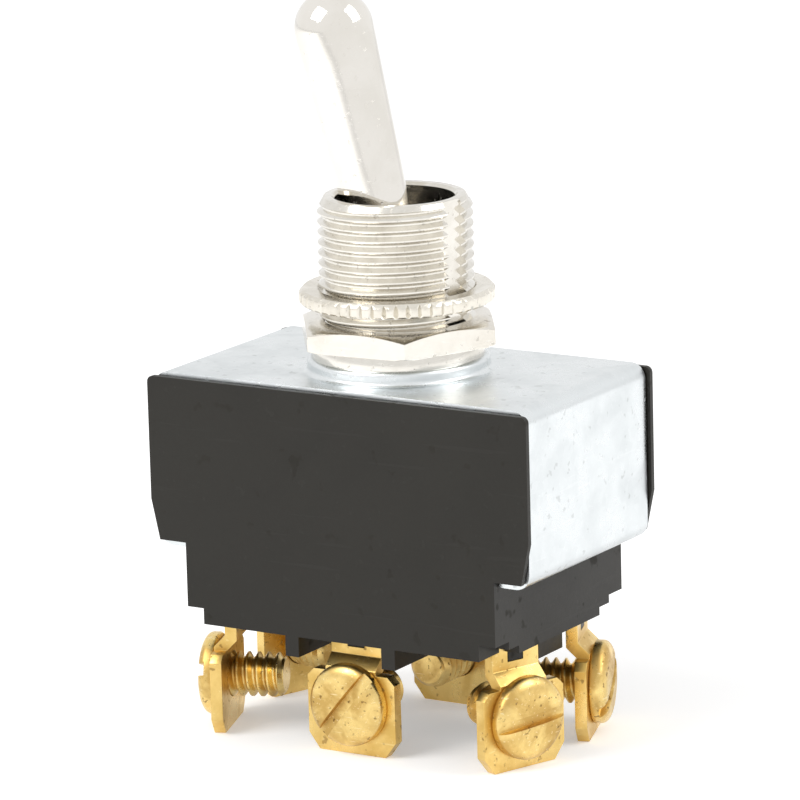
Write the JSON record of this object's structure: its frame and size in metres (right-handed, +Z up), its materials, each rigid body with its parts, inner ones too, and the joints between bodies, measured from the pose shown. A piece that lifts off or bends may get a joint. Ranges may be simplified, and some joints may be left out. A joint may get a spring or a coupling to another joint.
{
  "type": "panel toggle switch",
  "caption": "Double-pole panel toggle switch with a bat lever, threaded bushing with knurled and hex nuts, steel strap frame, moulded case and brass screw terminals.",
  "frame": {"origin": "bushing axis at the top face of the frame, where the drawn boss rises", "axes": "+Z up the bushing, +X along the case's long side towards the keyway, +Y towards the back terminals"},
  "size_m": [0.0336, 0.0192, 0.0575],
  "materials": {
    "phenolic": "satin moulded phenolic",
    "zinc_steel": "clear zinc plating, lightly mottled",
    "fibre": "dull vulcanised fibre",
    "nickel_plate": "nickel plating on turned thread",
    "nickel_nut": "nickel plating on knurled nut",
    "nickel_hex": "nickel plating, satin flats",
    "bright_nickel": "polished nickel",
    "pin_steel": "ground steel",
    "spring_steel": "drawn spring wire",
    "insulating_plunger": "moulded phenolic",
    "rocker_brass": "stamped copper alloy",
    "contact_silver": "silver contact rivets",
    "inner_brass": "stamped brass",
    "terminal_brass": "stamped brass, bright",
    "screw_brass": "turned brass, lightly worn faces"
  },
  "bodies": {
    "base": {"case": "phenolic", "frame": "zinc_steel", "insulator_sheet": "fibre", "bushing": "nickel_plate", "ring_nut": "nickel_nut", "hex_nut": "nickel_hex", "lever_pin": "pin_steel", "saddle_front": "inner_brass", "saddle_back": "inner_brass", "fixed_contact_front_left": "inner_brass", "fixed_contact_front_right": "inner_brass", "fixed_contact_back_left": "inner_brass", "fixed_contact_back_right": "inner_brass", "fixed_buttons": "contact_silver", "terminal_front_left": "terminal_brass", "terminal_front_middle": "terminal_brass", "terminal_front_right": "terminal_brass", "terminal_back_left": "terminal_brass", "terminal_back_middle": "terminal_brass", "terminal_back_right": "terminal_brass", "screw_front_left": "screw_brass", "screw_front_middle": "screw_brass", "screw_front_right": "screw_brass", "screw_back_left": "screw_brass", "screw_back_middle": "screw_brass", "screw_back_right": "screw_brass"},
    "lever": {"lever": "bright_nickel", "lever_spring": "spring_steel"},
    "plunger": {"plunger": "insulating_plunger"},
    "rocker_front": {"rocker_front": "rocker_brass", "rocker_buttons_front": "contact_silver"},
    "rocker_back": {"rocker_back": "rocker_brass", "rocker_buttons_back": "contact_silver"}
  },
  "joints": [
    {"name": "lever_tilt", "type": "hinge", "parent": "base", "child": "lever", "pos_m": [0, 0, 0.00585], "axis": [0, 1, 0], "range_deg": [0, 28.2]},
    {"name": "plunger_slide", "type": "slide", "parent": "lever", "child": "plunger", "axis": [-0.2436, 0, 0.9699], "range_m": [0, 0.0008], "stiffness_N_per_m": 600, "springref_m": -0.002, "deforming": ["lever_spring"]},
    {"name": "rocker_front_tilt", "type": "hinge", "parent": "base", "child": "rocker_front", "pos_m": [0, -0.0052, -0.01135], "axis": [0, 1, 0], "range_deg": [-10, 0]},
    {"name": "rocker_back_tilt", "type": "hinge", "parent": "base", "child": "rocker_back", "pos_m": [0, 0.0052, -0.01135], "axis": [0, 1, 0], "range_deg": [-10, 0]}
  ],
  "couplings": [
    {"joint": "rocker_front_tilt", "follows": "lever_tilt", "ratio": -0.35461},
    {"joint": "rocker_back_tilt", "follows": "lever_tilt", "ratio": -0.35461}
  ]
}
